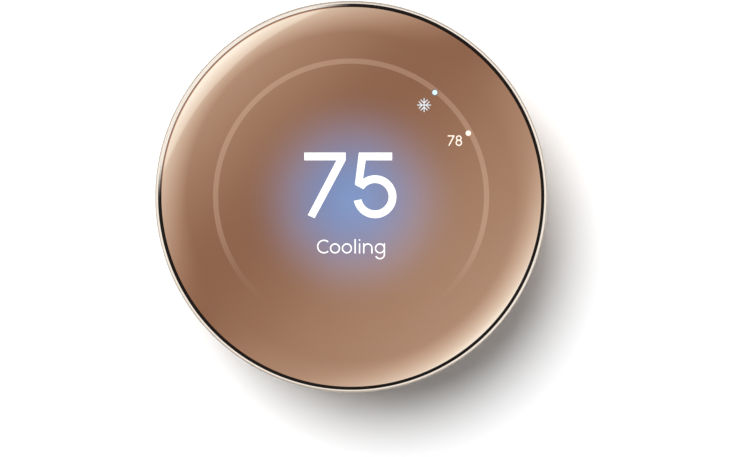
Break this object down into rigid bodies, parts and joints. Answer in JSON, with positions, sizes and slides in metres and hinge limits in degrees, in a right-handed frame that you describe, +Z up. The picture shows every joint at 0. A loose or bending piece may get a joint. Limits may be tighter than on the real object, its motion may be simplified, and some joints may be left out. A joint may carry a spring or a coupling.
{
  "type": "wall thermostat",
  "caption": "Round wall thermostat: domed mirror-lens head with display, board and two cells, pushed onto a screwed wall base with push-in wire terminals.",
  "frame": {"origin": "on the axis of the round body, at the back face of the base, which lies against the wall", "axes": "+Z up the wall, -Y out from the wall through the lens, +X to the right for someone who faces the display"},
  "size_m": [0.084, 0.0272, 0.084],
  "materials": {
    "shell_plastic": "satin, pale sand",
    "bezel_metal": "polished champagne",
    "ring_black": "gloss black",
    "lens_mirror": "rose bronze half mirror",
    "adhesive": "black foam tape",
    "display_glass": "dark display glass",
    "white_diffuser": "white diffuser film",
    "dark_plastic": "fine grain",
    "grey_plastic": "fine grain",
    "white_plastic": "fine grain",
    "tab_plastic": "fine grain",
    "frame_metal": "cast, bead blasted",
    "shield_metal": "tinned sheet",
    "board_green": "solder mask",
    "chip_black": "moulded epoxy",
    "connector_ivory": "moulded",
    "flex_amber": "polyimide film",
    "gold_contact": "gold flash",
    "spring_steel": "nickel plated",
    "screw_steel": "zinc plated",
    "cell_case": "printed sleeve, plain bands",
    "vial_clear": "clear acrylic",
    "vial_fluid": "yellow-green spirit",
    "vial_bubble": "air"
  },
  "bodies": {
    "base": {"base_plate": "white_plastic", "base_board": "board_green", "base_socket": "dark_plastic", "socket_contacts": "gold_contact", "terminal_block_left": "white_plastic", "terminal_block_right": "white_plastic", "wire_clamps_left": "gold_contact", "wire_clamps_right": "gold_contact", "level_vial": "vial_clear", "level_fluid": "vial_fluid", "level_bubble": "vial_bubble", "base_board_screws": "screw_steel", "snap_clips": "spring_steel"},
    "head": {"outer_shell": "shell_plastic", "bezel_ring": "bezel_metal", "lens_ring": "ring_black", "front_lens": "lens_mirror", "lens_adhesive": "adhesive", "display_panel": "display_glass", "display_backlight": "white_diffuser", "display_frame": "dark_plastic", "display_cable": "flex_amber", "mid_frame": "frame_metal", "main_board": "board_green", "board_chips": "chip_black", "board_connectors": "connector_ivory", "processor_shield": "shield_metal", "radio_shield": "shield_metal", "motion_sensor": "board_green", "light_sensor": "chip_black", "climate_sensor": "white_plastic", "climate_cable": "flex_amber", "touch_strip": "flex_amber", "touch_cable": "flex_amber", "wifi_antenna": "flex_amber", "plug_housing": "dark_plastic", "plug_pins": "gold_contact", "rear_cover": "grey_plastic", "battery_cell_upper": "cell_case", "battery_cell_lower": "cell_case", "battery_springs": "spring_steel", "battery_plates": "spring_steel", "rear_cover_screws": "screw_steel", "board_screws": "screw_steel"},
    "tab_left_1": {"tab_left_1": "tab_plastic"},
    "tab_left_2": {"tab_left_2": "tab_plastic"},
    "tab_left_3": {"tab_left_3": "tab_plastic"},
    "tab_left_4": {"tab_left_4": "tab_plastic"},
    "tab_left_5": {"tab_left_5": "tab_plastic"},
    "tab_right_1": {"tab_right_1": "tab_plastic"},
    "tab_right_2": {"tab_right_2": "tab_plastic"},
    "tab_right_3": {"tab_right_3": "tab_plastic"},
    "tab_right_4": {"tab_right_4": "tab_plastic"},
    "tab_right_5": {"tab_right_5": "tab_plastic"}
  },
  "joints": [
    {"name": "head_pull_off", "type": "slide", "parent": "base", "child": "head", "axis": [0, -1, 0], "range_m": [0, 0.04]},
    {"name": "tab_left_1_press", "type": "slide", "parent": "base", "child": "tab_left_1", "axis": [0, 1, 0], "range_m": [0, 0.0016], "stiffness_N_per_m": 400},
    {"name": "tab_left_2_press", "type": "slide", "parent": "base", "child": "tab_left_2", "axis": [0, 1, 0], "range_m": [0, 0.0016], "stiffness_N_per_m": 400},
    {"name": "tab_left_3_press", "type": "slide", "parent": "base", "child": "tab_left_3", "axis": [0, 1, 0], "range_m": [0, 0.0016], "stiffness_N_per_m": 400},
    {"name": "tab_left_4_press", "type": "slide", "parent": "base", "child": "tab_left_4", "axis": [0, 1, 0], "range_m": [0, 0.0016], "stiffness_N_per_m": 400},
    {"name": "tab_left_5_press", "type": "slide", "parent": "base", "child": "tab_left_5", "axis": [0, 1, 0], "range_m": [0, 0.0016], "stiffness_N_per_m": 400},
    {"name": "tab_right_1_press", "type": "slide", "parent": "base", "child": "tab_right_1", "axis": [0, 1, 0], "range_m": [0, 0.0016], "stiffness_N_per_m": 400},
    {"name": "tab_right_2_press", "type": "slide", "parent": "base", "child": "tab_right_2", "axis": [0, 1, 0], "range_m": [0, 0.0016], "stiffness_N_per_m": 400},
    {"name": "tab_right_3_press", "type": "slide", "parent": "base", "child": "tab_right_3", "axis": [0, 1, 0], "range_m": [0, 0.0016], "stiffness_N_per_m": 400},
    {"name": "tab_right_4_press", "type": "slide", "parent": "base", "child": "tab_right_4", "axis": [0, 1, 0], "range_m": [0, 0.0016], "stiffness_N_per_m": 400},
    {"name": "tab_right_5_press", "type": "slide", "parent": "base", "child": "tab_right_5", "axis": [0, 1, 0], "range_m": [0, 0.0016], "stiffness_N_per_m": 400}
  ]
}
